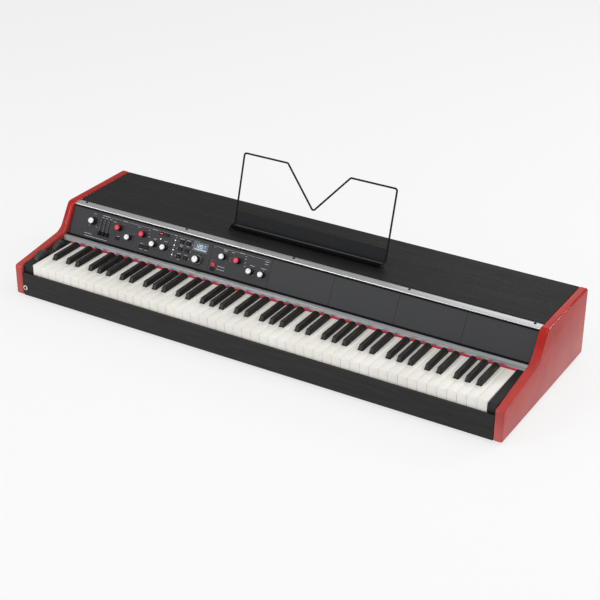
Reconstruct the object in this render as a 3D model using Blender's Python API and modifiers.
"""Stage piano: 88 keys between lacquered cheeks, a slanted panel of six modules and a wire music rest.

Metres, +Z up. Every piece is placed in the frame of the empty "case": X is 0 at the middle of the
case, Y is 0 at the cheeks' front edge and grows towards the back, and Z is 0 under the cheeks. The
world's origin lies on the floor under the middle of the case. The empty "panel" lies in the middle
of the panel's slope and carries the controls: its X runs along the panel, its Y up the slope and
its Z outwards.
"""

import math

import bmesh
import bpy
from mathutils import Matrix, Vector

# Clearances, and how far a cutter runs past what it cuts
SEAT_GAP = 0.0003
SHAFT_GAP = 0.0004
CUT_MARGIN = 0.0040

# White keys
WHITE_COUNT = 52
WHITE_PITCH = 0.0235
KEY_SIDE_GAP = 0.0010
WHITE_TOP = 0.0869
WHITE_BODY_HEIGHT = 0.0269
WHITE_FRONT_ROUND = 0.0015
WHITE_VISIBLE_LENGTH = 0.1528
WHITE_TUCK = 0.0014
WHITE_HEEL = 0.0034
WHITE_HEEL_RAMP = 0.0050
WHITE_LEVER_THICKNESS = 0.0140
WHITE_SPINE_GAP = 0.0020
WHITE_SPINE_DEPTH = 0.0080

# Black keys
BLACK_WIDTH = 0.0127
BLACK_TOP_WIDTH = 0.0100
BLACK_SIDE_GAP = 0.00075
BLACK_RISE = 0.0120
BLACK_FRONT_SETBACK = 0.0500
BLACK_BACK_SETBACK = 0.0016
BLACK_FRONT_SLOPE = 0.0048
BLACK_BACK_SLOPE = 0.0004
BLACK_LEVER_THICKNESS = 0.0100
BLACK_LEVER_WIDTH = 0.0090
BLACK_LEVER_START = 0.0420
BLACK_SPINE_BEFORE_PIVOT = 0.0380
BLACK_SPINE_DEPTH = 0.0100
BLACK_SPINE_HEIGHT = 0.0090
BLACK_SPINE_DROP = 0.0070

# Pivot that all keys share, and the octave whose keys move one by one
PIVOT_BEHIND_KEYS = 0.0724
LEVER_UNDERSIDE_RISE = 0.0060
LEVER_BEHIND_PIVOT = 0.0055
OCTAVE_START = 23
OCTAVE_WHITES = 7
OCTAVE_NUMBER = "4"

# Key frame
FRAME_SHEET = 0.0030
FRAME_FRONT_SETBACK = 0.0130
FRAME_SHELF_DEPTH = 0.0260
KEY_DIP_ROOM = 0.0100

# Case
LEFT_BLOCK_SPACE = 0.03035
RIGHT_BLOCK_SPACE = 0.02165
CASE_DEPTH = 0.4550
BACK_SETBACK = 0.0040
SHEET = 0.0020
FLOOR_HEIGHT = 0.0010
FOOT_HEIGHT = 0.0080
FOOT_RADIUS = 0.0150
FOOT_INSET_X = 0.0800
FOOT_INSET_Y = 0.0550
RAIL_SETBACK = 0.0020
RAIL_THICKNESS = 0.0055
RAIL_HEIGHT = 0.0617
RAIL_EDGE_ROUND = 0.0012
RAIL_TO_KEYS = 0.0013

# Cheeks
CHEEK_THICKNESS = 0.0210
CHEEK_EDGE_ROUND = 0.0035
CHEEK_REVEAL = 0.0034
CHEEK_FRONT_HEIGHT = 0.0795
CHEEK_ARM_RISE = 0.0250
CHEEK_PROUD_OF_PANEL = 0.0085
CHEEK_EXTRA_TILT = math.radians(3.0)
CHEEK_FRONT_ROUND = 0.0080
CHEEK_WAIST_ROUND = 0.0360
CHEEK_SHOULDER_ROUND = 0.0160
CHEEK_BACK_ROUND = 0.0080

# Headphone socket in the rail
JACK_FROM_CHEEK = 0.00715
JACK_HEIGHT = 0.0217
JACK_BORE_RADIUS = 0.0032
JACK_NUT_RADIUS = 0.0062
JACK_NUT_PROUD = 0.0012
JACK_BARREL_RADIUS = 0.0048
JACK_BARREL_LENGTH = 0.0120
JACK_END_WALL = 0.0020

# Key blocks and wheels
BLOCK_TO_RAIL = 0.0015
BLOCK_FRONT_DROP = 0.0039
BLOCK_BACK_RISE = 0.0011
BLOCK_FRONT_ROUND = 0.0050
WHEEL_FROM_CHEEK = 0.0154
WHEEL_RADIUS = 0.0250
WHEEL_WIDTH = 0.0130
WHEEL_RIM_ROUND = 0.0010
WHEEL_SIDE_GAP = 0.0005
WHEEL_END_GAP = 0.0010
WHEEL_SLOT_BELOW = 0.0010
WHEEL_AXLE_RADIUS = 0.0030
WHEEL_AXLE_REACH = 0.0028
WHEEL_GROOVE_RADIUS = 0.0050
WHEEL_GROOVE_DEPTH = 0.0012
PITCH_WHEEL_BEHIND_FRONT = 0.0530
PITCH_WHEEL_RISE = 0.0141
MOD_WHEEL_RISE = 0.0116
WHEEL_WEB = 0.0160
MOD_WHEEL_REST = math.radians(35.0)

# Felt and trims
FELT_DEPTH = 0.0042
FELT_HEIGHT = 0.0025
FELT_TO_TRIM = 0.0012
TRIM_ABOVE_KEYS = 0.0006
TRIM_SHEET = 0.0020
LOWER_TRIM_FACE = 0.0079
LOWER_TRIM_LEAN = 0.0027
LOWER_TRIM_TOP_DEPTH = 0.0126
LOWER_TRIM_TOP_RISE = 0.0045
LOWER_TRIM_VALLEY_DEPTH = 0.0080
LOWER_TRIM_VALLEY_DROP = 0.0040
TRIM_TO_PANEL = 0.0005
UPPER_TRIM_DEPTH = 0.0235
UPPER_TRIM_RISE = 0.0051
UPPER_TRIM_LIP = 0.0034
LID_STEP = 0.0016

# Panel
PANEL_TILT = math.radians(29.07)
PANEL_SLOPE = 0.0747
PANEL_PLATE = 0.0020
PANEL_TOP_GAP = 0.0005
SEAM = 0.0007
SEAM_DEPTH = 0.0015
BLANK_COUNT = 4
CARRIER_EDGE = 0.0120
CARRIER_THICKNESS = 0.0015
BOARD_DEPTH = 0.0120
BOARD_THICKNESS = 0.0016
BOARD_EDGE = 0.0045

# Kinds of knob
KNOB_SIDES = 16
KNOB_LIFT = 0.0004
KNOB_EDGE = 0.0008
SHAFT_RADIUS = 0.0030
POINTER_WIDTH = 0.0010
POINTER_DEPTH = 0.0004
POINTER_START = 0.0010
SMALL_KNOB = {"skirt": 0.0076, "skirt_height": 0.0040, "cap": 0.0066, "top": 0.0060, "height": 0.0165}
VOLUME_KNOB = {"skirt": 0.0105, "skirt_height": 0.0040, "cap": 0.0088, "top": 0.0080, "height": 0.0165}
ENCODER_KNOB = {"skirt": 0.0130, "skirt_height": 0.0035, "cap": 0.0098, "top": 0.0085, "height": 0.0175}

# Other controls: sizes across and up the slope, heights above the plate
SLIDER_SLOT = (0.0022, 0.0415)
SLIDER_SLOT_LOW = -0.0208
SLIDER_END_GAP = 0.0017
SLIDER_CAP = (0.0066, 0.0100)
SLIDER_CAP_HEIGHT = 0.0052
SLIDER_STEM = (0.0014, 0.0046)
BUTTON_CAP = (0.0110, 0.0072)
BUTTON_STEM = (0.0040, 0.0040)
BUTTON_PROUD = 0.0022
BUTTON_SUNK = 0.0012
BUTTON_TRAVEL = 0.0008
STEM_OVERLAP = 0.0006
WINDOW_SIZE = (0.0430, 0.0230)
WINDOW_PROUD = 0.0003
ROCKER_SIZE = (0.0124, 0.0200)
ROCKER_SWING_ROOM = 0.0006
ROCKER_ANGLE = math.radians(7.0)
ROCKER_END_RISE = 0.0046
ROCKER_WAIST_RISE = 0.0030
ROCKER_BELOW_PIVOT = 0.0030

# Places of the controls: from their module's left edge, and up from the panel's middle line
MAIN_KNOBS = {
    "volume_knob": (0.0686, 0.0091, VOLUME_KNOB, 150, "white_cap"),
    "reverb_knob": (0.1503, 0.0093, SMALL_KNOB, 40, "red_cap"),
    "tone_knob": (0.1847, -0.0075, SMALL_KNOB, -40, "white_cap"),
    "chorus_knob": (0.2240, 0.0097, SMALL_KNOB, 20, "red_cap"),
    "rate_knob": (0.2607, -0.0069, SMALL_KNOB, -40, "white_cap"),
    "depth_knob": (0.2932, -0.0077, SMALL_KNOB, -40, "white_cap"),
    "data_encoder": (0.3928, -0.0145, ENCODER_KNOB, 0, "white_cap"),
}
EFFECTS_KNOBS = {
    "drive_knob": (0.0372, 0.0089, SMALL_KNOB, -40, "white_cap"),
    "amp_knob": (0.0797, 0.0089, SMALL_KNOB, 0, "red_cap"),
    "treble_knob": (0.1196, -0.0079, SMALL_KNOB, -20, "white_cap"),
    "bass_knob": (0.1523, -0.0081, SMALL_KNOB, 0, "white_cap"),
}
SLIDERS = {"drawbar_1": 0.0942, "drawbar_2": 0.1064, "drawbar_3": 0.1186}
BUTTONS = {
    "reverb_button": (0.1504, -0.0173),
    "chorus_button_1": (0.2250, -0.0199),
    "chorus_button_2": (0.2410, -0.0199),
    "engine_button_1": (0.2750, 0.0237),
    "engine_button_2": (0.2920, 0.0237),
    "sound_button_1": (0.3378, 0.0171),
    "sound_button_2": (0.3574, 0.0171),
    "sound_button_3": (0.3378, -0.0012),
    "sound_button_4": (0.3574, -0.0012),
    "sound_button_5": (0.3378, -0.0196),
    "sound_button_6": (0.3574, -0.0196),
}
WINDOW_PLACE = (0.3923, 0.0163)
ROCKER_PLACE = (0.0135, -0.0205)
MAIN_END_MARGIN = 0.0322
EFFECTS_END_MARGIN = 0.0174

# Sockets in the rear wall: from the left cheek, their height, and their width and height or radius
SOCKET_HEIGHT = 0.0450
SQUARE_SOCKETS = {0.0970: (0.0280, 0.0205), 0.1970: (0.0124, 0.0112)}
ROUND_SOCKETS = {
    0.2570: 0.0076,
    0.2870: 0.0076,
    0.3370: 0.0049,
    0.3670: 0.0049,
    0.4200: 0.0049,
    0.4500: 0.0049,
}

# Music rest
ROD_RADIUS = 0.0023
ROD_BEND = 0.0060
REST_HALF_WIDTH = 0.2095
REST_INNER_CORNER = 0.0865
REST_BEHIND_LID_FRONT = 0.0665
REST_FOOT_ABOVE_LID = 0.0098
REST_TILT = math.radians(15.86)
REST_SLOPE = 0.1757
REST_NOTCH_DEPTH = 0.0995
PEG_FORWARD = 0.0230
PEG_BELOW_LID = 0.0080
GROMMET_RADIUS = 0.0056
GROMMET_HEIGHT = 0.0018
TRAY_SHEET = 0.0015
TRAY_PLATE_SLOPE = 0.0320
TRAY_LEDGE_DEPTH = 0.0185
TRAY_ABOVE_LID = 0.0035
TRAY_LIP = 0.0100

# Places along X
KEYBOARD_WIDTH = WHITE_COUNT * WHITE_PITCH
CASE_WIDTH = LEFT_BLOCK_SPACE + KEYBOARD_WIDTH + RIGHT_BLOCK_SPACE + 2 * CHEEK_THICKNESS
CHEEK_INNER_X = CASE_WIDTH / 2 - CHEEK_THICKNESS
SPAN_X = CHEEK_INNER_X - SEAT_GAP
KEYS_LEFT_X = -CHEEK_INNER_X + LEFT_BLOCK_SPACE
KEYS_RIGHT_X = KEYS_LEFT_X + KEYBOARD_WIDTH
JACK_X = -CHEEK_INNER_X + JACK_FROM_CHEEK
WHEEL_X = -CHEEK_INNER_X + WHEEL_FROM_CHEEK
MAIN_END_X = -CHEEK_INNER_X + max(spec[0] for spec in MAIN_KNOBS.values()) + MAIN_END_MARGIN
EFFECTS_END_X = MAIN_END_X + max(spec[0] for spec in EFFECTS_KNOBS.values()) + EFFECTS_END_MARGIN

# Places in the keyboard
RAIL_BACK_Y = RAIL_SETBACK + RAIL_THICKNESS
WHITE_FRONT_Y = RAIL_BACK_Y + RAIL_TO_KEYS
WHITE_BACK_Y = WHITE_FRONT_Y + WHITE_VISIBLE_LENGTH
WHITE_BOTTOM = WHITE_TOP - WHITE_BODY_HEIGHT
BLACK_FRONT_Y = WHITE_FRONT_Y + BLACK_FRONT_SETBACK
BLACK_BACK_Y = WHITE_BACK_Y - BLACK_BACK_SETBACK
BLACK_TOP = WHITE_TOP + BLACK_RISE
BLACK_SLOT = BLACK_WIDTH + 2 * BLACK_SIDE_GAP
NOTCH_FRONT_Y = BLACK_FRONT_Y - 2 * BLACK_SIDE_GAP
LEVER_BOTTOM = WHITE_BOTTOM + LEVER_UNDERSIDE_RISE
PIVOT = Vector((0, WHITE_BACK_Y + PIVOT_BEHIND_KEYS, LEVER_BOTTOM))
LEVER_END_Y = PIVOT.y + LEVER_BEHIND_PIVOT
WHITE_SPINE_Y = LEVER_END_Y + WHITE_SPINE_GAP
BLACK_LEVER_Y = BLACK_FRONT_Y + BLACK_LEVER_START
CUT_LOW = WHITE_BOTTOM - CUT_MARGIN
CUT_HIGH = BLACK_TOP + CUT_MARGIN
OCTAVE = range(OCTAVE_START, OCTAVE_START + OCTAVE_WHITES)

# Places from the keys back to the lid
PANEL_SIN = math.sin(PANEL_TILT)
PANEL_COS = math.cos(PANEL_TILT)
TRIM_FOOT = Vector((WHITE_BACK_Y + FELT_DEPTH + FELT_TO_TRIM, WHITE_TOP + TRIM_ABOVE_KEYS))
TRIM_EDGE = TRIM_FOOT + Vector((-LOWER_TRIM_LEAN, LOWER_TRIM_FACE))
TRIM_CREST = TRIM_EDGE + Vector((LOWER_TRIM_TOP_DEPTH, LOWER_TRIM_TOP_RISE))
TRIM_VALLEY = TRIM_CREST + Vector((LOWER_TRIM_VALLEY_DEPTH, -LOWER_TRIM_VALLEY_DROP))
PANEL_FOOT = TRIM_VALLEY + Vector((TRIM_TO_PANEL, SEAT_GAP))
PANEL_HEAD = PANEL_FOOT + PANEL_SLOPE * Vector((PANEL_SIN, PANEL_COS))
UPPER_TRIM_TOP = PANEL_HEAD.y + UPPER_TRIM_RISE
UPPER_TRIM_BACK_Y = PANEL_HEAD.x + UPPER_TRIM_DEPTH
LID_FRONT_Y = UPPER_TRIM_BACK_Y + SEAT_GAP
LID_TOP = UPPER_TRIM_TOP + LID_STEP
CHEEK_HEIGHT = UPPER_TRIM_TOP + CHEEK_REVEAL
CASE_BACK_Y = CASE_DEPTH - BACK_SETBACK
CASE_FLOOR = FLOOR_HEIGHT + SHEET
BOARD_TOP = -BOARD_DEPTH
SHAFT_END = BOARD_TOP + SEAT_GAP

# Places of the blocks, the wheels and the music rest
BLOCK_FRONT_Y = RAIL_BACK_Y + BLOCK_TO_RAIL
BLOCK_BACK_Y = TRIM_EDGE.x - SEAT_GAP
BLOCK_GAP = SEAT_GAP + KEY_SIDE_GAP / 2
WHEEL_REACH = WHEEL_RADIUS + WHEEL_END_GAP
PITCH_WHEEL_Y = BLOCK_FRONT_Y + PITCH_WHEEL_BEHIND_FRONT
MOD_WHEEL_Y = PITCH_WHEEL_Y + 2 * WHEEL_REACH + WHEEL_WEB
REST_FOOT_Y = LID_FRONT_Y + REST_BEHIND_LID_FRONT
REST_FOOT_Z = LID_TOP + REST_FOOT_ABOVE_LID
PEG_Y = REST_FOOT_Y - PEG_FORWARD

for leftover in list(bpy.data.objects):
    bpy.data.objects.remove(leftover)

parts = bpy.data.collections.new("stage_piano")
cutters = bpy.data.collections.new("cutters")
bpy.context.scene.collection.children.link(parts)
bpy.context.scene.collection.children.link(cutters)


def empty(name, parent, location, tilt=0.0):
    frame = bpy.data.objects.new(name, None)
    frame.parent = parent
    frame.location = location
    frame.rotation_euler = (tilt, 0, 0)
    parts.objects.link(frame)
    return frame


panel_middle = (PANEL_FOOT + PANEL_HEAD) / 2
case = empty("case", None, (0, -CASE_DEPTH / 2, FOOT_HEIGHT))
panel = empty("panel", case, (0, *panel_middle), math.pi / 2 - PANEL_TILT)


def finish(name, colour, roughness, metallic=0.0):
    made = bpy.data.materials.new(name)
    made.use_nodes = True
    shader = made.node_tree.nodes["Principled BSDF"]
    shader.inputs["Base Color"].default_value = (*colour, 1)
    shader.inputs["Roughness"].default_value = roughness
    shader.inputs["Metallic"].default_value = metallic
    return made


FINISHES = {
    "red_lacquer": finish("red_lacquer", (0.33, 0.030, 0.033), 0.30),
    "black_paint": finish("black_paint", (0.025, 0.025, 0.027), 0.55),
    "panel_grey": finish("panel_grey", (0.060, 0.060, 0.066), 0.50),
    "aluminium": finish("aluminium", (0.62, 0.63, 0.64), 0.32, 1.0),
    "red_felt": finish("red_felt", (0.52, 0.010, 0.035), 0.95),
    "ivory_plastic": finish("ivory_plastic", (0.82, 0.80, 0.75), 0.35),
    "ebony_plastic": finish("ebony_plastic", (0.022, 0.020, 0.019), 0.45),
    "white_cap": finish("white_cap", (0.85, 0.85, 0.83), 0.40),
    "red_cap": finish("red_cap", (0.68, 0.020, 0.045), 0.40),
    "display_glass": finish("display_glass", (0.030, 0.040, 0.075), 0.08),
    "circuit_board": finish("circuit_board", (0.020, 0.120, 0.050), 0.50),
    "steel_sheet": finish("steel_sheet", (0.45, 0.45, 0.46), 0.40, 1.0),
    "red_lens": finish("red_lens", (0.60, 0.020, 0.030), 0.20),
}


# Meshes: boxes, prisms over flat outlines, and curves with their caps welded

def box_mesh(low, high):
    low, high = Vector(low), Vector(high)
    place = Matrix.Translation((low + high) / 2) @ Matrix.Diagonal((*(high - low), 1))
    shape = bmesh.new()
    bmesh.ops.create_cube(shape, size=1, matrix=place)
    mesh = bpy.data.meshes.new("box")
    shape.to_mesh(mesh)
    shape.free()
    return mesh


def merged(meshes):
    """One mesh that holds several that don't touch each other."""
    whole = bmesh.new()
    for mesh in meshes:
        whole.from_mesh(mesh)
    mesh = bpy.data.meshes.new("merged")
    whole.to_mesh(mesh)
    whole.free()
    return mesh


def curve_mesh(curve):
    """The curve as a closed mesh: its caps come loose, so they are welded to its sides."""
    guide = bpy.data.objects.new("guide", curve)
    bpy.context.scene.collection.objects.link(guide)
    graph = bpy.context.evaluated_depsgraph_get()
    mesh = bpy.data.meshes.new_from_object(guide.evaluated_get(graph))
    bpy.data.objects.remove(guide)
    shape = bmesh.new()
    shape.from_mesh(mesh)
    bmesh.ops.remove_doubles(shape, verts=shape.verts, dist=0.000001)
    bmesh.ops.recalc_face_normals(shape, faces=shape.faces)
    shape.to_mesh(mesh)
    shape.free()
    return mesh


def prisms(outlines, low, high):
    """A closed prism over each flat outline, from low to high along Z."""
    curve = bpy.data.curves.new("outlines", "CURVE")
    curve.dimensions = "2D"
    curve.fill_mode = "BOTH"
    curve.extrude = (high - low) / 2
    for outline in outlines:
        spline = curve.splines.new("POLY")
        spline.points.add(len(outline) - 1)
        for point, place in zip(spline.points, outline):
            point.co = (*place, 0, 1)
        spline.use_cyclic_u = True
    mesh = curve_mesh(curve)
    mesh.transform(Matrix.Translation((0, 0, (low + high) / 2)))
    return mesh


def across(outline, left, right):
    """A prism along X over an outline of (y, z) points."""
    mesh = prisms([outline], left, right)
    mesh.transform(Matrix(((0, 0, 1, 0), (1, 0, 0, 0), (0, 1, 0, 0), (0, 0, 0, 1))))
    return mesh


def along_y(outlines, front, back):
    """Prisms along Y over outlines of (x, z) points."""
    mesh = prisms(outlines, -back, -front)
    mesh.transform(Matrix.Rotation(math.pi / 2, 4, "X"))
    return mesh


# Outlines

def rectangle(left, right, low, high):
    return [(left, low), (right, low), (right, high), (left, high)]


def centred(place, size, clearance=0.0):
    x, y = place
    half_width = size[0] / 2 + clearance
    half_height = size[1] / 2 + clearance
    return rectangle(x - half_width, x + half_width, y - half_height, y + half_height)


def circle(x, y, radius, sides=16):
    turns = [math.tau * side / sides for side in range(sides)]
    return [(x + radius * math.cos(turn), y + radius * math.sin(turn)) for turn in turns]


def arc(before, here, after, radius, steps):
    """The points that turn the corner here with an arc of this radius, for flat and spatial paths."""
    back = (before - here).normalized()
    on = (after - here).normalized()
    half_angle = back.angle(on) / 2
    centre = here + (back + on).normalized() * radius / math.sin(half_angle)
    start = (here + back * radius / math.tan(half_angle) - centre).normalized()
    end = (here + on * radius / math.tan(half_angle) - centre).normalized()
    sweep = start.angle(end)
    turned_by = [sweep * step / steps for step in range(steps + 1)]
    return [centre + radius * (start * math.sin(sweep - turn) + end * math.sin(turn)) / math.sin(sweep)
            for turn in turned_by]


def rounded(corners):
    """The outline through these (u, v, radius) corners, each turned with its arc where it has a radius."""
    outline = []
    for i, (u, v, radius) in enumerate(corners):
        here = Vector((u, v))
        before = Vector(corners[i - 1][:2])
        after = Vector(corners[(i + 1) % len(corners)][:2])
        outline += arc(before, here, after, radius, 4) if radius else [here]
    return [tuple(point) for point in outline]


def folded(path, thickness):
    """The outline of a sheet folded along this path, with its thickness on the path's left."""
    points = [Vector(point) for point in path]
    ways = [(after - before).normalized() for before, after in zip(points, points[1:])]
    lefts = [Vector((-way.y, way.x)) for way in ways]
    inner = []
    for point, first, second in zip(points, lefts[:1] + lefts, lefts + lefts[-1:]):
        inner.append(point + (first + second) * thickness / (1 + first.dot(second)))
    return [tuple(point) for point in points + inner[::-1]]


# Objects

def into_scene(name, mesh, finish_name=None, parent=case, origin=(0, 0, 0), smooth=False):
    """The mesh, which is in its parent's frame, as a part with this finish or, with none, as a cutter."""
    mesh.transform(Matrix.Translation(-Vector(origin)))
    if smooth:
        mesh.shade_smooth()
        mesh.set_sharp_from_angle(angle=math.radians(35))
    piece = bpy.data.objects.new(name, mesh)
    piece.parent = parent
    piece.location = origin
    if finish_name is None:
        cutters.objects.link(piece)
        piece.hide_render = True
        piece.display_type = "WIRE"
    else:
        parts.objects.link(piece)
        mesh.materials.append(FINISHES[finish_name])
    return piece


def turned(name, profile, sides, finish_name, parent, origin, rotation=(0, 0, 0)):
    """A piece turned about its own Z: the (radius, height) profile runs from the top down."""
    line = bmesh.new()
    points = [line.verts.new((radius, 0, height)) for radius, height in profile]
    for first, second in zip(points, points[1:]):
        line.edges.new((first, second))
    mesh = bpy.data.meshes.new(name)
    line.to_mesh(mesh)
    line.free()
    piece = into_scene(name, mesh, finish_name, parent)
    piece.location = origin
    piece.rotation_euler = rotation
    lathe = piece.modifiers.new("lathe", "SCREW")
    lathe.steps = lathe.render_steps = sides
    lathe.use_merge_vertices = True
    lathe.merge_threshold = 0.00001
    lathe.use_smooth_shade = True
    return piece


def boolean(piece, mesh, operation, parent):
    name = piece.name + "_" + operation.lower()
    step = piece.modifiers.new(name, "BOOLEAN")
    step.operation = operation
    step.object = into_scene(name, mesh, None, parent)
    step.solver = "EXACT"


def cut(piece, mesh, parent=case):
    boolean(piece, mesh, "DIFFERENCE", parent)


def join(piece, mesh, parent=case):
    boolean(piece, mesh, "UNION", parent)


def round_edges(piece, width):
    edge = piece.modifiers.new("rounded_edges", "BEVEL")
    edge.width = width
    edge.segments = 2
    edge.limit_method = "ANGLE"
    edge.angle_limit = math.radians(50)


# Cheeks: lacquered panels whose arm runs beside the keys, and whose riser follows the panel

def cheek(name, left, right):
    riser_tilt = PANEL_TILT + CHEEK_EXTRA_TILT
    riser = Vector((math.tan(riser_tilt), 1))
    beside_panel = PANEL_HEAD - Vector((CHEEK_PROUD_OF_PANEL, 0))
    waist = beside_panel + riser * (CHEEK_FRONT_HEIGHT + CHEEK_ARM_RISE - beside_panel.y)
    shoulder = beside_panel + riser * (CHEEK_HEIGHT - beside_panel.y)
    outline = rounded([
        (0, 0, 0),
        (CASE_DEPTH, 0, 0),
        (CASE_DEPTH, CHEEK_HEIGHT, CHEEK_BACK_ROUND),
        (*shoulder, CHEEK_SHOULDER_ROUND),
        (*waist, CHEEK_WAIST_ROUND),
        (0, CHEEK_FRONT_HEIGHT, CHEEK_FRONT_ROUND),
    ])
    piece = into_scene(name, across(outline, left, right), "red_lacquer", smooth=True)
    round_edges(piece, CHEEK_EDGE_ROUND)


cheek("left_cheek", -CASE_WIDTH / 2, -CHEEK_INNER_X)
cheek("right_cheek", CHEEK_INNER_X, CASE_WIDTH / 2)


# Bottom chassis: one folded sheet, floor and rear wall, with feet under it and sockets in the wall

chassis_front = RAIL_BACK_Y + SEAT_GAP
wall_top = LID_TOP - SHEET - SEAT_GAP
chassis_path = [(chassis_front, FLOOR_HEIGHT), (CASE_BACK_Y, FLOOR_HEIGHT), (CASE_BACK_Y, wall_top)]
chassis_mesh = across(folded(chassis_path, SHEET), -SPAN_X, SPAN_X)
bottom_chassis = into_scene("bottom_chassis", chassis_mesh, "black_paint")

foot_x = CASE_WIDTH / 2 - FOOT_INSET_X
foot_rows = (FOOT_INSET_Y, CASE_DEPTH - FOOT_INSET_Y)
feet = [circle(x, y, FOOT_RADIUS) for x in (-foot_x, foot_x) for y in foot_rows]
join(bottom_chassis, prisms(feet, -FOOT_HEIGHT, CASE_FLOOR - SHEET / 2))

sockets = [centred((-CHEEK_INNER_X + x, SOCKET_HEIGHT), size) for x, size in SQUARE_SOCKETS.items()]
sockets += [circle(-CHEEK_INNER_X + x, SOCKET_HEIGHT, radius) for x, radius in ROUND_SOCKETS.items()]
cut(bottom_chassis, along_y(sockets, CASE_BACK_Y - SHEET - CUT_MARGIN, CASE_BACK_Y + CUT_MARGIN))


# Front rail: a black bar in front of the keys, with the headphone socket at its left end

rail_low = (-SPAN_X, RAIL_SETBACK, 0)
rail_high = (SPAN_X, RAIL_BACK_Y, RAIL_HEIGHT)
front_rail = into_scene("front_rail", box_mesh(rail_low, rail_high), "black_paint")
round_edges(front_rail, RAIL_EDGE_ROUND)

rail_middle_y = (RAIL_SETBACK + RAIL_BACK_Y) / 2
jack_front_y = RAIL_SETBACK - JACK_NUT_PROUD
jack_end_y = RAIL_BACK_Y + JACK_BARREL_LENGTH
jack_nut = circle(JACK_X, JACK_HEIGHT, JACK_NUT_RADIUS)
jack_barrel = circle(JACK_X, JACK_HEIGHT, JACK_BARREL_RADIUS)
jack_bore = circle(JACK_X, JACK_HEIGHT, JACK_BORE_RADIUS)
join(front_rail, along_y([jack_nut], jack_front_y, rail_middle_y))
join(front_rail, along_y([jack_barrel], rail_middle_y, jack_end_y))
cut(front_rail, along_y([jack_bore], jack_front_y - CUT_MARGIN, jack_end_y - JACK_END_WALL))


# Key blocks: black fillers at both ends of the keys. The left one makes room for socket and wheels

def key_block(name, left, right):
    outline = rounded([
        (BLOCK_FRONT_Y, CASE_FLOOR + SEAT_GAP, 0),
        (BLOCK_BACK_Y, CASE_FLOOR + SEAT_GAP, 0),
        (BLOCK_BACK_Y, WHITE_TOP + BLOCK_BACK_RISE, 0),
        (BLOCK_FRONT_Y, WHITE_TOP - BLOCK_FRONT_DROP, BLOCK_FRONT_ROUND),
    ])
    return into_scene(name, across(outline, left, right), "black_paint")


left_block = key_block("left_end_block", -SPAN_X, KEYS_LEFT_X - BLOCK_GAP)
key_block("right_end_block", KEYS_RIGHT_X + BLOCK_GAP, SPAN_X)

wheel_centres = {
    "pitch_wheel": Vector((WHEEL_X, PITCH_WHEEL_Y, WHITE_TOP + PITCH_WHEEL_RISE - WHEEL_RADIUS)),
    "mod_wheel": Vector((WHEEL_X, MOD_WHEEL_Y, WHITE_TOP + MOD_WHEEL_RISE - WHEEL_RADIUS)),
}
wheel_slots = []
wheel_bores = []
for centre in wheel_centres.values():
    slot_half = WHEEL_WIDTH / 2 + WHEEL_SIDE_GAP
    slot_low = (centre.x - slot_half, centre.y - WHEEL_REACH, centre.z - WHEEL_REACH - WHEEL_SLOT_BELOW)
    slot_high = (centre.x + slot_half, centre.y + WHEEL_REACH, WHITE_TOP + BLOCK_BACK_RISE + CUT_MARGIN)
    bore_half = WHEEL_WIDTH / 2 + WHEEL_AXLE_REACH + 2 * SEAT_GAP
    bore = circle(centre.y, centre.z, WHEEL_AXLE_RADIUS + SEAT_GAP)
    wheel_slots.append(box_mesh(slot_low, slot_high))
    wheel_bores.append(across(bore, centre.x - bore_half, centre.x + bore_half))
jack_pocket = circle(JACK_X, JACK_HEIGHT, JACK_BARREL_RADIUS + SEAT_GAP)
cut(left_block, merged(wheel_slots))
cut(left_block, merged(wheel_bores))
cut(left_block, along_y([jack_pocket], BLOCK_FRONT_Y - CUT_MARGIN, jack_end_y + SEAT_GAP))


# Wheels: discs with a finger groove, on stub axles that turn in the block's bores

axle_end = WHEEL_WIDTH / 2 + WHEEL_AXLE_REACH
wheel_side = [
    (0, axle_end),
    (WHEEL_AXLE_RADIUS, axle_end),
    (WHEEL_AXLE_RADIUS, WHEEL_WIDTH / 2),
    (WHEEL_RADIUS - WHEEL_RIM_ROUND, WHEEL_WIDTH / 2),
    (WHEEL_RADIUS, WHEEL_WIDTH / 2 - WHEEL_RIM_ROUND),
]
wheel_profile = wheel_side + [(radius, -height) for radius, height in reversed(wheel_side)]
groove_offset = WHEEL_RADIUS - WHEEL_GROOVE_DEPTH + WHEEL_GROOVE_RADIUS
for name, groove_turn in (("pitch_wheel", 0), ("mod_wheel", MOD_WHEEL_REST)):
    centre = wheel_centres[name]
    groove_y = centre.y - groove_offset * math.sin(groove_turn)
    groove_z = centre.z + groove_offset * math.cos(groove_turn)
    groove = circle(groove_y, groove_z, WHEEL_GROOVE_RADIUS)
    wheel = turned(name, wheel_profile, 28, "ebony_plastic", case, centre, (0, math.pi / 2, 0))
    cut(wheel, across(groove, centre.x - WHEEL_WIDTH, centre.x + WHEEL_WIDTH))


# Keyboard layout. Keys are counted by their white keys from the lowest, an A, and each black key by
# the white key on its left. Within C to E and F to B the white tails are equally wide

NOTES = "CDEFGAB"
GROUPS = ("CDE", "FGAB")


def letter_of(white):
    return NOTES[(white + NOTES.index("A")) % len(NOTES)]


def has_black(white):
    return 0 <= white < WHITE_COUNT - 1 and letter_of(white) not in "EB"


def right_side(white):
    """The right side of a white key's share of the keyboard."""
    return KEYS_LEFT_X + (white + 1) * WHITE_PITCH


def black_x(white):
    """The middle of the black key that follows this white key."""
    group = next(letters for letters in GROUPS if letter_of(white) in letters)
    place = group.index(letter_of(white)) + 1
    tail = (len(group) * WHITE_PITCH - (len(group) - 1) * BLACK_SLOT) / len(group)
    return right_side(white - place) + place * tail + (place - 0.5) * BLACK_SLOT


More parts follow.
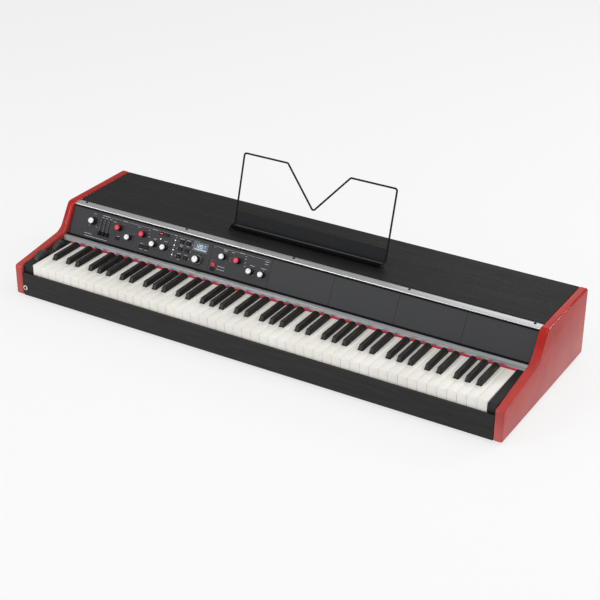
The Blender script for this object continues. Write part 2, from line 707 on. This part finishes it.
def white_side_view(back_y):
    head_back = WHITE_BACK_Y + WHITE_TUCK
    return [
        (WHITE_FRONT_Y, WHITE_BOTTOM),
        (WHITE_BACK_Y + WHITE_HEEL, WHITE_BOTTOM),
        (WHITE_BACK_Y + WHITE_HEEL + WHITE_HEEL_RAMP, LEVER_BOTTOM),
        (back_y, LEVER_BOTTOM),
        (back_y, LEVER_BOTTOM + WHITE_LEVER_THICKNESS),
        (head_back, LEVER_BOTTOM + WHITE_LEVER_THICKNESS),
        (head_back, WHITE_TOP),
        (WHITE_FRONT_Y + WHITE_FRONT_ROUND, WHITE_TOP),
        (WHITE_FRONT_Y, WHITE_TOP - WHITE_FRONT_ROUND),
    ]


def notch(white, back_y):
    """The room in plan for the black key that follows this white key."""
    middle = black_x(white)
    return rectangle(middle - BLACK_SLOT / 2, middle + BLACK_SLOT / 2, NOTCH_FRONT_Y, back_y)


def joint(white, back_y):
    """The gap in plan between this white key and the next, with the notch of a black key there."""
    front_y = WHITE_FRONT_Y - CUT_MARGIN
    left = right_side(white) - KEY_SIDE_GAP / 2
    right = right_side(white) + KEY_SIDE_GAP / 2
    if not has_black(white):
        return rectangle(left, right, front_y, back_y)
    near_left, near_right, far_right, far_left = notch(white, back_y)
    slit_end = [(right, front_y), (right, NOTCH_FRONT_Y)]
    return [(left, front_y), *slit_end, near_right, far_right, far_left, near_left, (left, NOTCH_FRONT_Y)]


def black_cap(middle):
    """The playing part of a black key: upright up to the white keys' surface, and tapered above it."""
    low = (middle - BLACK_WIDTH / 2, BLACK_FRONT_Y, WHITE_BOTTOM)
    high = (middle + BLACK_WIDTH / 2, BLACK_BACK_Y, BLACK_TOP)
    mesh = box_mesh(low, high)
    shape = bmesh.new()
    shape.from_mesh(mesh)
    whole = [*shape.verts, *shape.edges, *shape.faces]
    bmesh.ops.bisect_plane(shape, geom=whole, plane_co=(0, 0, WHITE_TOP), plane_no=(0, 0, 1))
    for corner in shape.verts:
        if corner.co.z > WHITE_TOP + BLACK_RISE / 2:
            corner.co.x = middle + (corner.co.x - middle) * BLACK_TOP_WIDTH / BLACK_WIDTH
            at_front = corner.co.y < (BLACK_FRONT_Y + BLACK_BACK_Y) / 2
            corner.co.y += BLACK_FRONT_SLOPE if at_front else -BLACK_BACK_SLOPE
    shape.to_mesh(mesh)
    shape.free()
    return mesh


# Single keys of the playable octave

def white_key(white):
    left = right_side(white - 1) + KEY_SIDE_GAP / 2
    right = right_side(white) - KEY_SIDE_GAP / 2
    name = "key_" + letter_of(white) + OCTAVE_NUMBER
    mesh = across(white_side_view(LEVER_END_Y), left, right)
    key = into_scene(name, mesh, "ivory_plastic", origin=((left + right) / 2, PIVOT.y, PIVOT.z))
    beside = [neighbour for neighbour in (white - 1, white) if has_black(neighbour)]
    notches = [notch(neighbour, LEVER_END_Y + CUT_MARGIN) for neighbour in beside]
    cut(key, prisms(notches, CUT_LOW, CUT_HIGH))


def black_key(white):
    middle = black_x(white)
    name = "key_" + letter_of(white) + "_sharp_" + OCTAVE_NUMBER
    key = into_scene(name, black_cap(middle), "ebony_plastic", origin=(middle, PIVOT.y, PIVOT.z))
    lever_low = (middle - BLACK_LEVER_WIDTH / 2, BLACK_LEVER_Y, LEVER_BOTTOM)
    lever_high = (middle + BLACK_LEVER_WIDTH / 2, LEVER_END_Y, LEVER_BOTTOM + BLACK_LEVER_THICKNESS)
    join(key, box_mesh(lever_low, lever_high))


for white in OCTAVE:
    white_key(white)
    if has_black(white):
        black_key(white)


# White bank: the other white keys, joined by a spine behind their levers

white_bank_mesh = across(
    white_side_view(WHITE_SPINE_Y + WHITE_SPINE_DEPTH),
    KEYS_LEFT_X + KEY_SIDE_GAP / 2,
    KEYS_RIGHT_X - KEY_SIDE_GAP / 2,
)
white_bank = into_scene("white_key_bank", white_bank_mesh, "ivory_plastic", origin=PIVOT)
octave_left = right_side(OCTAVE[0] - 1) - KEY_SIDE_GAP / 2
octave_right = right_side(OCTAVE[-1]) + KEY_SIDE_GAP / 2
white_gaps = [rectangle(octave_left, octave_right, WHITE_FRONT_Y - CUT_MARGIN, WHITE_SPINE_Y)]
for white in range(WHITE_COUNT - 1):
    if white not in OCTAVE and white + 1 not in OCTAVE:
        white_gaps.append(joint(white, WHITE_SPINE_Y))
cut(white_bank, prisms(white_gaps, CUT_LOW, CUT_HIGH))


# Black bank: the other black keys, joined by a spine that passes under the white levers

middles = [black_x(white) for white in range(WHITE_COUNT) if has_black(white) and white not in OCTAVE]
half_lever = BLACK_LEVER_WIDTH / 2
levers_low = (middles[0] - half_lever, BLACK_LEVER_Y, LEVER_BOTTOM)
levers_high = (middles[-1] + half_lever, LEVER_END_Y, LEVER_BOTTOM + BLACK_LEVER_THICKNESS)
black_bank = into_scene("black_key_bank", box_mesh(levers_low, levers_high), "ebony_plastic", origin=PIVOT)

spine_y = PIVOT.y - BLACK_SPINE_BEFORE_PIVOT
spine_top = LEVER_BOTTOM - BLACK_SPINE_DROP
spine_root = LEVER_BOTTOM + BLACK_LEVER_THICKNESS / 2
spine_low = (levers_low[0] + SEAT_GAP, spine_y, spine_top - BLACK_SPINE_HEIGHT)
spine_high = (levers_high[0] - SEAT_GAP, spine_y + BLACK_SPINE_DEPTH, spine_root)
join(black_bank, box_mesh(spine_low, spine_high))

black_gaps = []
for first, second in zip(middles, middles[1:]):
    gap_front = BLACK_LEVER_Y - CUT_MARGIN
    gap_back = LEVER_END_Y + CUT_MARGIN
    black_gaps.append(rectangle(first + half_lever, second - half_lever, gap_front, gap_back))
cut(black_bank, prisms(black_gaps, spine_top, CUT_HIGH))
join(black_bank, merged([black_cap(middle) for middle in middles]))


# Key frame: folded steel, whose shelf stops the keys and whose rear wall carries their pivot

shelf_top = WHITE_BOTTOM - KEY_DIP_ROOM
frame_front = WHITE_FRONT_Y + FRAME_FRONT_SETBACK
frame_floor = CASE_FLOOR + SEAT_GAP
frame_back = PIVOT.y + FRAME_SHEET / 2
frame_path = [
    (frame_front + FRAME_SHELF_DEPTH, shelf_top),
    (frame_front, shelf_top),
    (frame_front, frame_floor),
    (frame_back, frame_floor),
    (frame_back, LEVER_BOTTOM - SEAT_GAP),
]
frame_mesh = across(folded(frame_path, FRAME_SHEET), KEYS_LEFT_X, KEYS_RIGHT_X)
into_scene("keybed_frame", frame_mesh, "steel_sheet")


# Felt and trims: the felt lies behind the keys, the trims close the panel below and above

felt_low = (KEYS_LEFT_X, WHITE_BACK_Y, WHITE_TOP + SEAT_GAP)
felt_high = (KEYS_RIGHT_X, WHITE_BACK_Y + FELT_DEPTH, WHITE_TOP + SEAT_GAP + FELT_HEIGHT)
into_scene("felt_strip", box_mesh(felt_low, felt_high), "red_felt")

lower_trim_path = [TRIM_VALLEY, TRIM_CREST, TRIM_EDGE, TRIM_FOOT]
into_scene("lower_trim", across(folded(lower_trim_path, TRIM_SHEET), -SPAN_X, SPAN_X), "aluminium")

upper_trim_path = [
    (UPPER_TRIM_BACK_Y, UPPER_TRIM_TOP),
    (PANEL_HEAD.x, UPPER_TRIM_TOP),
    (PANEL_HEAD.x, UPPER_TRIM_TOP - UPPER_TRIM_LIP),
]
into_scene("upper_trim", across(folded(upper_trim_path, TRIM_SHEET), -SPAN_X, SPAN_X), "aluminium")


# Lid: black sheet from the upper trim to the rear wall, with two grommets for the music rest

lid_low = (-SPAN_X, LID_FRONT_Y, LID_TOP - SHEET)
lid_high = (SPAN_X, CASE_BACK_Y, LID_TOP)
top_lid = into_scene("top_lid", box_mesh(lid_low, lid_high), "black_paint")
grommets = [circle(x, PEG_Y, GROMMET_RADIUS) for x in (-REST_HALF_WIDTH, REST_HALF_WIDTH)]
peg_holes = [circle(x, PEG_Y, ROD_RADIUS + SEAT_GAP) for x in (-REST_HALF_WIDTH, REST_HALF_WIDTH)]
join(top_lid, prisms(grommets, LID_TOP - SHEET / 2, LID_TOP + GROMMET_HEIGHT))
cut(top_lid, prisms(peg_holes, LID_TOP - SHEET - CUT_MARGIN, LID_TOP + GROMMET_HEIGHT + CUT_MARGIN))


# Panel plates, with a hole for each control

def plate(name, left, right):
    low = (left, -PANEL_SLOPE / 2, -PANEL_PLATE)
    high = (right, PANEL_SLOPE / 2 - PANEL_TOP_GAP, 0)
    return into_scene(name, box_mesh(low, high), "panel_grey", panel)


def on_main(place):
    return (-CHEEK_INNER_X + place[0], place[1])


def on_effects(place):
    return (MAIN_END_X + place[0], place[1])


def cut_through(piece, holes):
    cut(piece, prisms(holes, -PANEL_PLATE - CUT_MARGIN, CUT_MARGIN), panel)


slot_middle = SLIDER_SLOT_LOW + SLIDER_SLOT[1] / 2
main_holes = [centred(on_main(WINDOW_PLACE), WINDOW_SIZE, SEAT_GAP)]
main_holes += [circle(*on_main(spec[:2]), SHAFT_RADIUS + SHAFT_GAP) for spec in MAIN_KNOBS.values()]
main_holes += [centred(on_main(place), BUTTON_CAP, SEAT_GAP) for place in BUTTONS.values()]
main_holes += [centred(on_main((x, slot_middle)), SLIDER_SLOT) for x in SLIDERS.values()]
rocker_room = (ROCKER_SIZE[0], ROCKER_SIZE[1] + ROCKER_SWING_ROOM)
effects_places = [on_effects(spec[:2]) for spec in EFFECTS_KNOBS.values()]
effects_holes = [circle(*place, SHAFT_RADIUS + SHAFT_GAP) for place in effects_places]
effects_holes.append(centred(on_effects(ROCKER_PLACE), rocker_room, SEAT_GAP))
cut_through(plate("main_panel", -SPAN_X, MAIN_END_X - SEAM / 2), main_holes)
cut_through(plate("effects_panel", MAIN_END_X + SEAM / 2, EFFECTS_END_X - SEAM / 2), effects_holes)

blank_left = EFFECTS_END_X + SEAM / 2
blank_pitch = (CHEEK_INNER_X - EFFECTS_END_X) / BLANK_COUNT
blank_panels = plate("blank_panels", blank_left, SPAN_X)
carrier_half = PANEL_SLOPE / 2 - CARRIER_EDGE
carrier_low = (blank_left + CARRIER_EDGE, -carrier_half, -PANEL_PLATE - CARRIER_THICKNESS)
carrier_high = (SPAN_X - CARRIER_EDGE, carrier_half, -PANEL_PLATE / 2)
join(blank_panels, box_mesh(carrier_low, carrier_high), panel)
seams = [centred((EFFECTS_END_X + blank * blank_pitch, 0), (SEAM, PANEL_SLOPE + CUT_MARGIN))
         for blank in range(1, BLANK_COUNT)]
cut(blank_panels, prisms(seams, -SEAM_DEPTH, CUT_MARGIN), panel)


# Board and display behind and in the panel

board_half = PANEL_SLOPE / 2 - BOARD_EDGE
board_low = (-SPAN_X + BOARD_EDGE, -board_half, BOARD_TOP - BOARD_THICKNESS)
board_high = (EFFECTS_END_X, board_half, BOARD_TOP)
into_scene("main_board", box_mesh(board_low, board_high), "circuit_board", panel)

window = prisms([centred(on_main(WINDOW_PLACE), WINDOW_SIZE)], -PANEL_PLATE, WINDOW_PROUD)
into_scene("display_window", window, "display_glass", panel)


# Controls: knobs on shafts, drawbars on stems, buttons on plungers, and a rocker

def knob(name, x, y, shape, pointer, finish_name):
    """A knob with its shaft. Its pointer groove is turned this many degrees to the left."""
    profile = [
        (0, shape["height"]),
        (shape["top"] - KNOB_EDGE, shape["height"]),
        (shape["top"], shape["height"] - KNOB_EDGE),
        (shape["cap"], shape["skirt_height"] + KNOB_EDGE),
        (shape["skirt"], shape["skirt_height"]),
        (shape["skirt"], KNOB_LIFT),
        (SHAFT_RADIUS, KNOB_LIFT),
        (SHAFT_RADIUS, SHAFT_END),
        (0, SHAFT_END),
    ]
    piece = turned(name, profile, KNOB_SIDES, finish_name, panel, (x, y, 0))
    groove_low = (-POINTER_WIDTH / 2, POINTER_START, shape["height"] - POINTER_DEPTH)
    groove_high = (POINTER_WIDTH / 2, shape["top"] + CUT_MARGIN, shape["height"] + CUT_MARGIN)
    groove = box_mesh(groove_low, groove_high)
    groove.transform(Matrix.Translation((x, y, 0)) @ Matrix.Rotation(math.radians(pointer), 4, "Z"))
    cut(piece, groove, panel)


def plunger(name, place, cap, low, high, stem, stem_end):
    """A cap from low to high above the plate, on a stem that runs down to stem_end."""
    piece = into_scene(name, prisms([centred(place, cap)], low, high), "ebony_plastic", panel, (*place, 0))
    join(piece, prisms([centred(place, stem)], stem_end, low + STEM_OVERLAP), panel)


for name, (x, y, shape, pointer, finish_name) in MAIN_KNOBS.items():
    knob(name, *on_main((x, y)), shape, pointer, finish_name)
for name, (x, y, shape, pointer, finish_name) in EFFECTS_KNOBS.items():
    knob(name, *on_effects((x, y)), shape, pointer, finish_name)

slider_rest = SLIDER_SLOT_LOW + SLIDER_END_GAP + SLIDER_STEM[1] / 2
for name, x in SLIDERS.items():
    place = on_main((x, slider_rest))
    plunger(name, place, SLIDER_CAP, SHAFT_GAP, SLIDER_CAP_HEIGHT, SLIDER_STEM, SHAFT_END)

button_end = SHAFT_END + BUTTON_TRAVEL
for name, place in BUTTONS.items():
    plunger(name, on_main(place), BUTTON_CAP, -BUTTON_SUNK, BUTTON_PROUD, BUTTON_STEM, button_end)

rocker_half = ROCKER_SIZE[1] / 2
rocker_outline = [
    (-rocker_half, -ROCKER_BELOW_PIVOT),
    (rocker_half, -ROCKER_BELOW_PIVOT),
    (rocker_half, ROCKER_END_RISE),
    (0, ROCKER_WAIST_RISE),
    (-rocker_half, ROCKER_END_RISE),
]
rocker_pivot = (*on_effects(ROCKER_PLACE), -PANEL_PLATE)
rocker_mesh = across(rocker_outline, -ROCKER_SIZE[0] / 2, ROCKER_SIZE[0] / 2)
rocker_mesh.transform(Matrix.Translation(rocker_pivot) @ Matrix.Rotation(ROCKER_ANGLE, 4, "X"))
into_scene("drive_rocker", rocker_mesh, "red_lens", panel, rocker_pivot)


# Music rest: a bent rod whose pegs stand in the lid, with a folded tray between its uprights

def on_rest(x, slope):
    return (x, REST_FOOT_Y + slope * math.sin(REST_TILT), REST_FOOT_Z + slope * math.cos(REST_TILT))


def bent(corners, radius):
    """The path through these points, with each corner between its ends bent to the radius."""
    points = [Vector(corner) for corner in corners]
    path = points[:1]
    for before, here, after in zip(points, points[1:], points[2:]):
        path += arc(before, here, after, radius, 3)
    return path + points[-1:]


right_half = [
    on_rest(REST_INNER_CORNER, REST_SLOPE),
    on_rest(REST_HALF_WIDTH, REST_SLOPE),
    on_rest(REST_HALF_WIDTH, 0),
    (REST_HALF_WIDTH, PEG_Y, REST_FOOT_Z),
    (REST_HALF_WIDTH, PEG_Y, LID_TOP - PEG_BELOW_LID),
]
left_half = [(-x, y, z) for x, y, z in reversed(right_half)]
rod_path = bent([*left_half, on_rest(0, REST_SLOPE - REST_NOTCH_DEPTH), *right_half], ROD_BEND)
rod = bpy.data.curves.new("rack_wire", "CURVE")
rod.dimensions = "3D"
rod.bevel_depth = ROD_RADIUS
rod.bevel_resolution = 2
rod.use_fill_caps = True
rod_line = rod.splines.new("POLY")
rod_line.points.add(len(rod_path) - 1)
for point, place in zip(rod_line.points, rod_path):
    point.co = (*place, 1)
into_scene("rack_wire", curve_mesh(rod), "black_paint", smooth=True)

ledge_z = LID_TOP + TRAY_ABOVE_LID + TRAY_SHEET
crease = Vector((REST_FOOT_Y + (ledge_z - REST_FOOT_Z) * math.tan(REST_TILT), ledge_z))
plate_way = Vector((math.sin(REST_TILT), math.cos(REST_TILT)))
plate_head = Vector((REST_FOOT_Y, REST_FOOT_Z)) + plate_way * TRAY_PLATE_SLOPE
ledge_front = crease - Vector((TRAY_LEDGE_DEPTH, 0))
tray_path = [plate_head, crease, ledge_front, ledge_front + Vector((0, TRAY_LIP))]
tray_half = REST_HALF_WIDTH - ROD_RADIUS - SEAT_GAP
into_scene("rack_tray", across(folded(tray_path, TRAY_SHEET), -tray_half, tray_half), "black_paint")
